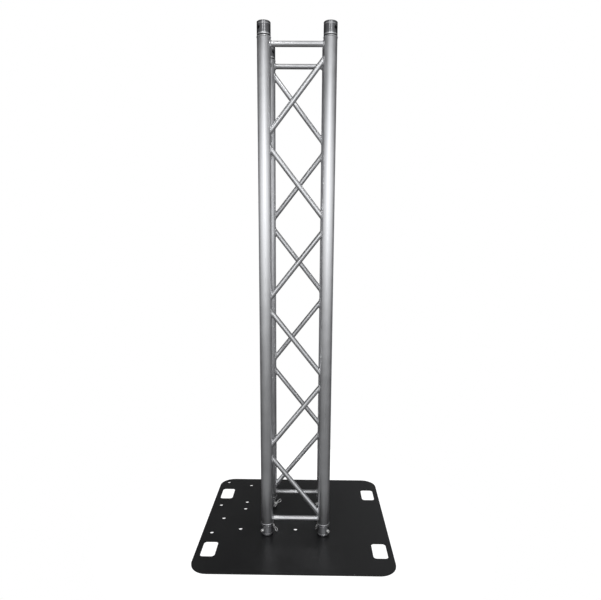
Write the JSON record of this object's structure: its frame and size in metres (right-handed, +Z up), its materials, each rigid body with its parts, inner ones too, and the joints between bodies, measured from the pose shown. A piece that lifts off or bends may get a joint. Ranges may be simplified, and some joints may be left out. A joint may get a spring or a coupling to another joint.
{
  "type": "lighting truss section",
  "caption": "Square aluminium box truss section with zig-zag tube bracing, pinned upright by tapered pins and spring clips to conical couplers on a black steel base plate.",
  "frame": {"origin": "centre of the base plate's underside", "axes": "+Z up along the chords, -Y towards the front, which is the side nearest the camera in the picture, +X to the right"},
  "size_m": [0.8, 0.8, 2.008],
  "materials": {
    "base_plate": "black satin powder coat",
    "chord_tube": "mill finish tube with drawn lines along it",
    "brace_tube": "mill finish tube",
    "receiver": "turned, brighter than the tube",
    "coupler": "turned",
    "screw": "black oxide",
    "pin": "bright zinc plate",
    "clip": "bright zinc plate"
  },
  "bodies": {
    "truss": {"base_plate": "base_plate", "coupler_front_left": "coupler", "coupler_front_right": "coupler", "coupler_rear_right": "coupler", "coupler_rear_left": "coupler", "coupler_screws": "screw", "chord_front_left": "chord_tube", "chord_front_right": "chord_tube", "chord_rear_right": "chord_tube", "chord_rear_left": "chord_tube", "receiver_bottom_front_left": "receiver", "receiver_bottom_front_right": "receiver", "receiver_bottom_rear_right": "receiver", "receiver_bottom_rear_left": "receiver", "receiver_top_front_left": "receiver", "receiver_top_front_right": "receiver", "receiver_top_rear_right": "receiver", "receiver_top_rear_left": "receiver", "bar_bottom_front": "brace_tube", "bar_bottom_right": "brace_tube", "bar_bottom_rear": "brace_tube", "bar_bottom_left": "brace_tube", "bar_top_front": "brace_tube", "bar_top_right": "brace_tube", "bar_top_rear": "brace_tube", "bar_top_left": "brace_tube", "brace_front_1": "brace_tube", "brace_front_2": "brace_tube", "brace_front_3": "brace_tube", "brace_front_4": "brace_tube", "brace_front_5": "brace_tube", "brace_front_6": "brace_tube", "brace_right_1": "brace_tube", "brace_right_2": "brace_tube", "brace_right_3": "brace_tube", "brace_right_4": "brace_tube", "brace_right_5": "brace_tube", "brace_right_6": "brace_tube", "brace_rear_1": "brace_tube", "brace_rear_2": "brace_tube", "brace_rear_3": "brace_tube", "brace_rear_4": "brace_tube", "brace_rear_5": "brace_tube", "brace_rear_6": "brace_tube", "brace_left_1": "brace_tube", "brace_left_2": "brace_tube", "brace_left_3": "brace_tube", "brace_left_4": "brace_tube", "brace_left_5": "brace_tube", "brace_left_6": "brace_tube"},
    "pin_front_left": {"pin_front_left": "pin"},
    "clip_front_left": {"clip_front_left": "clip"},
    "pin_front_right": {"pin_front_right": "pin"},
    "clip_front_right": {"clip_front_right": "clip"},
    "pin_rear_right": {"pin_rear_right": "pin"},
    "clip_rear_right": {"clip_rear_right": "clip"},
    "pin_rear_left": {"pin_rear_left": "pin"},
    "clip_rear_left": {"clip_rear_left": "clip"}
  },
  "joints": [
    {"name": "pin_front_left_draw", "type": "slide", "parent": "truss", "child": "pin_front_left", "axis": [-0.7071, -0.7071, 0], "range_m": [0, 0.005]},
    {"name": "clip_front_left_pull", "type": "slide", "parent": "pin_front_left", "child": "clip_front_left", "axis": [0.7044, -0.7044, -0.0872], "range_m": [0, 0.024]},
    {"name": "pin_front_right_draw", "type": "slide", "parent": "truss", "child": "pin_front_right", "axis": [0.7071, -0.7071, 0], "range_m": [0, 0.005]},
    {"name": "clip_front_right_pull", "type": "slide", "parent": "pin_front_right", "child": "clip_front_right", "axis": [0.7044, 0.7044, -0.0872], "range_m": [0, 0.024]},
    {"name": "pin_rear_right_draw", "type": "slide", "parent": "truss", "child": "pin_rear_right", "axis": [0.7071, 0.7071, 0], "range_m": [0, 0.005]},
    {"name": "clip_rear_right_pull", "type": "slide", "parent": "pin_rear_right", "child": "clip_rear_right", "axis": [0.6964, -0.6964, 0.1736], "range_m": [0, 0.024]},
    {"name": "pin_rear_left_draw", "type": "slide", "parent": "truss", "child": "pin_rear_left", "axis": [-0.7071, 0.7071, 0], "range_m": [0, 0.005]},
    {"name": "clip_rear_left_pull", "type": "slide", "parent": "pin_rear_left", "child": "clip_rear_left", "axis": [0.6124, 0.6124, 0.5], "range_m": [0, 0.024]}
  ]
}
